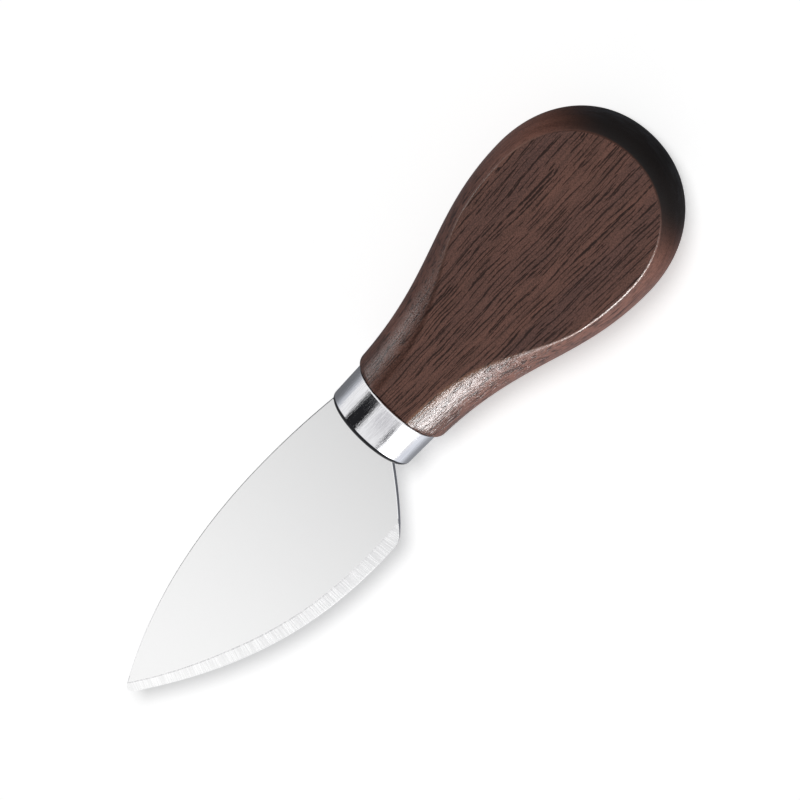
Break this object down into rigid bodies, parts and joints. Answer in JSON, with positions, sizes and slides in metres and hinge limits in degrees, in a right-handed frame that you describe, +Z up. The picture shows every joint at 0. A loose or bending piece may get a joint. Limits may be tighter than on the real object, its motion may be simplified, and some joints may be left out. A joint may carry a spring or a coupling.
{
  "type": "cheese knife",
  "caption": "Small hard-cheese knife with a leaf-shaped steel blade, a polished ferrule and a flat-faced walnut paddle handle.",
  "frame": {"origin": "bottom centre of the bounding box, level with the lowest point of the ferrule's rim", "axes": "+X along the knife from the blade's tip to the handle's butt, +Z up through the handle's two flats, and the cutting edge towards -Y"},
  "size_m": [0.1286, 0.034, 0.0168],
  "materials": {
    "blade_steel": "satin flat-ground stainless steel, with a finely ground band along the cutting edge",
    "ferrule_steel": "polished drawn steel with fine lines round it",
    "handle_wood": "dark walnut with satin lacquer"
  },
  "bodies": {
    "root": {"blade": "blade_steel", "ferrule": "ferrule_steel", "handle": "handle_wood"}
  },
  "joints": []
}
